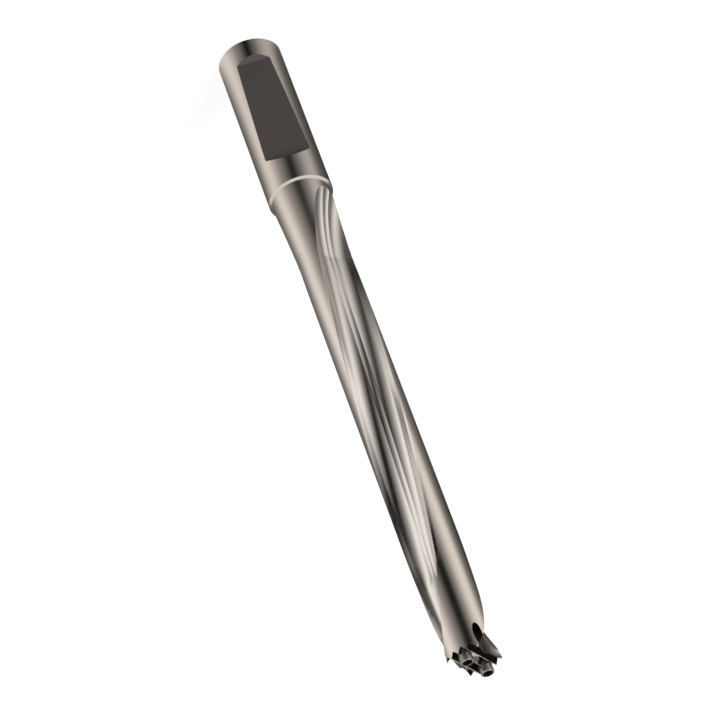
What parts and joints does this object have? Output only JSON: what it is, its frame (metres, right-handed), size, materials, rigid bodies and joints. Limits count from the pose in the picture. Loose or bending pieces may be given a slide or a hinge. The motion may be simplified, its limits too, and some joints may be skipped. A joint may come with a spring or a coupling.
{
  "type": "replaceable head drill body",
  "caption": "Slender drill body with twisted scalloped flutes, a cylindrical shank with an inclined clamping flat, and a serrated seat with clamp screws for a cutting head.",
  "frame": {"origin": "centre of the rear face of the shank", "axes": "+Z along the tool axis from the rear face to the serrated seat; the inclined clamping flat faces -Y"},
  "size_m": [0.016, 0.016, 0.1823],
  "materials": {
    "tool_steel": "satin, warm grey",
    "screw_steel": "dark, fine turned"
  },
  "bodies": {
    "root": {"drill_body": "tool_steel", "clamp_screws": "screw_steel"}
  },
  "joints": []
}
